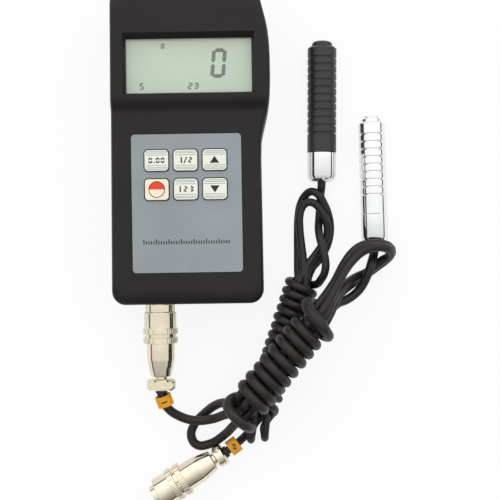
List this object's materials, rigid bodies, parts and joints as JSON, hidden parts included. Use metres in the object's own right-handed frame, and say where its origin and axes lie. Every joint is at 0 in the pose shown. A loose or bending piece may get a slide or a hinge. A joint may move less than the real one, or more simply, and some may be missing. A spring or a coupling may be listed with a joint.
{
  "type": "coating thickness gauge",
  "caption": "Handheld coating thickness gauge with a display, sprung keys and a panel socket, and two plug-in probes on hanked cords.",
  "frame": {"origin": "centre of the case's flat back, on the table", "axes": "+Z out of the display, +Y toward the display head, +X to the right of the keypad"},
  "size_m": [0.1169, 0.2114, 0.0313],
  "materials": {
    "case_plastic": "fine satin texture",
    "clear_window": "clear acrylic",
    "display_glass": "pale green display cell",
    "frame_plastic": "black",
    "strip_rubber": "grey",
    "board_laminate": "green solder mask",
    "label_film": "grey print on film",
    "key_plastic": "off-white",
    "cream_key_plastic": "cream with a red half disc",
    "switch_plastic": "black",
    "screw_steel": "zinc plated",
    "cell_wrap": "plain wrap",
    "contact_steel": "nickel plated",
    "nickel": "warm bright nickel",
    "insert_plastic": "black",
    "pin_brass": "gold flash",
    "spring_steel": "drawn wire",
    "bush_rubber": "black",
    "tag_vinyl": "orange yellow",
    "chrome": "polished",
    "pole_steel": "hardened",
    "grip_plastic": "black satin",
    "cord_vinyl": "soft black jacket"
  },
  "bodies": {
    "gauge": {"front_shell": "case_plastic", "rear_shell": "case_plastic", "display_window": "clear_window", "lcd_panel": "display_glass", "lcd_frame": "frame_plastic", "zebra_strips": "strip_rubber", "main_board": "board_laminate", "key_label": "label_film", "key_switches": "switch_plastic", "case_screws": "screw_steel", "board_screws": "screw_steel", "battery_cells": "cell_wrap", "battery_contacts": "contact_steel", "socket_shell": "nickel", "socket_nut": "nickel", "socket_insert": "insert_plastic", "socket_pins": "pin_brass", "plug_shell": "nickel", "plug_insert": "insert_plastic", "plug_spring": "spring_steel", "plug_backshell": "nickel", "plug_clamp": "nickel", "plug_bush": "bush_rubber", "plug_tag": "tag_vinyl", "loose_shell": "nickel", "loose_insert": "insert_plastic", "loose_spring": "spring_steel", "loose_backshell": "nickel", "loose_clamp": "nickel", "loose_bush": "bush_rubber", "loose_tag": "tag_vinyl", "clamp_screws": "nickel", "bright_grip": "chrome", "bright_spring": "spring_steel", "bright_tail": "chrome", "black_grip": "grip_plastic", "black_spring": "spring_steel", "black_tail": "chrome", "bright_cord_lead": "cord_vinyl", "bright_cord_hank": "cord_vinyl", "bright_cord_loops": "cord_vinyl", "bright_cord_end": "cord_vinyl", "black_cord_lead": "cord_vinyl", "black_cord_hank": "cord_vinyl", "black_cord_loops": "cord_vinyl", "black_cord_end": "cord_vinyl"},
    "battery_cover": {"battery_cover": "case_plastic"},
    "plug_sleeve": {"plug_sleeve": "nickel"},
    "loose_sleeve": {"loose_sleeve": "nickel"},
    "bright_tip": {"bright_tip": "chrome", "bright_pole": "pole_steel"},
    "black_tip": {"black_tip": "grip_plastic", "black_pole": "pole_steel"},
    "key_zero": {"key_zero": "key_plastic"},
    "key_mode": {"key_mode": "key_plastic"},
    "key_up": {"key_up": "key_plastic"},
    "key_power": {"key_power": "cream_key_plastic"},
    "key_select": {"key_select": "key_plastic"},
    "key_down": {"key_down": "key_plastic"}
  },
  "joints": [
    {"name": "key_zero_press", "type": "slide", "parent": "gauge", "child": "key_zero", "axis": [0, 0, -1], "range_m": [0, 0.0005], "stiffness_N_per_m": 800, "springref_m": -0.0006},
    {"name": "key_mode_press", "type": "slide", "parent": "gauge", "child": "key_mode", "axis": [0, 0, -1], "range_m": [0, 0.0005], "stiffness_N_per_m": 800, "springref_m": -0.0006},
    {"name": "key_up_press", "type": "slide", "parent": "gauge", "child": "key_up", "axis": [0, 0, -1], "range_m": [0, 0.0005], "stiffness_N_per_m": 800, "springref_m": -0.0006},
    {"name": "key_power_press", "type": "slide", "parent": "gauge", "child": "key_power", "axis": [0, 0, -1], "range_m": [0, 0.0005], "stiffness_N_per_m": 800, "springref_m": -0.0006},
    {"name": "key_select_press", "type": "slide", "parent": "gauge", "child": "key_select", "axis": [0, 0, -1], "range_m": [0, 0.0005], "stiffness_N_per_m": 800, "springref_m": -0.0006},
    {"name": "key_down_press", "type": "slide", "parent": "gauge", "child": "key_down", "axis": [0, 0, -1], "range_m": [0, 0.0005], "stiffness_N_per_m": 800, "springref_m": -0.0006},
    {"name": "battery_cover_slide", "type": "slide", "parent": "gauge", "child": "battery_cover", "axis": [0, 1, 0], "range_m": [0, 0.06]},
    {"name": "plug_sleeve_pull", "type": "slide", "parent": "gauge", "child": "plug_sleeve", "axis": [0, -1, 0], "range_m": [0, 0.0025], "stiffness_N_per_m": 600, "springref_m": -0.002, "deforming": ["plug_spring"]},
    {"name": "loose_sleeve_pull", "type": "slide", "parent": "gauge", "child": "loose_sleeve", "axis": [0.8564, 0.5145, -0.0436], "range_m": [0, 0.0025], "stiffness_N_per_m": 600, "springref_m": -0.002, "deforming": ["loose_spring"]},
    {"name": "bright_tip_press", "type": "slide", "parent": "gauge", "child": "bright_tip", "axis": [0.015, -0.9999, 0], "range_m": [0, 0.0022], "stiffness_N_per_m": 500, "springref_m": -0.002, "deforming": ["bright_spring"]},
    {"name": "black_tip_press", "type": "slide", "parent": "gauge", "child": "black_tip", "axis": [-0.0187, -0.9998, 0], "range_m": [0, 0.0022], "stiffness_N_per_m": 500, "springref_m": -0.002, "deforming": ["black_spring"]}
  ]
}
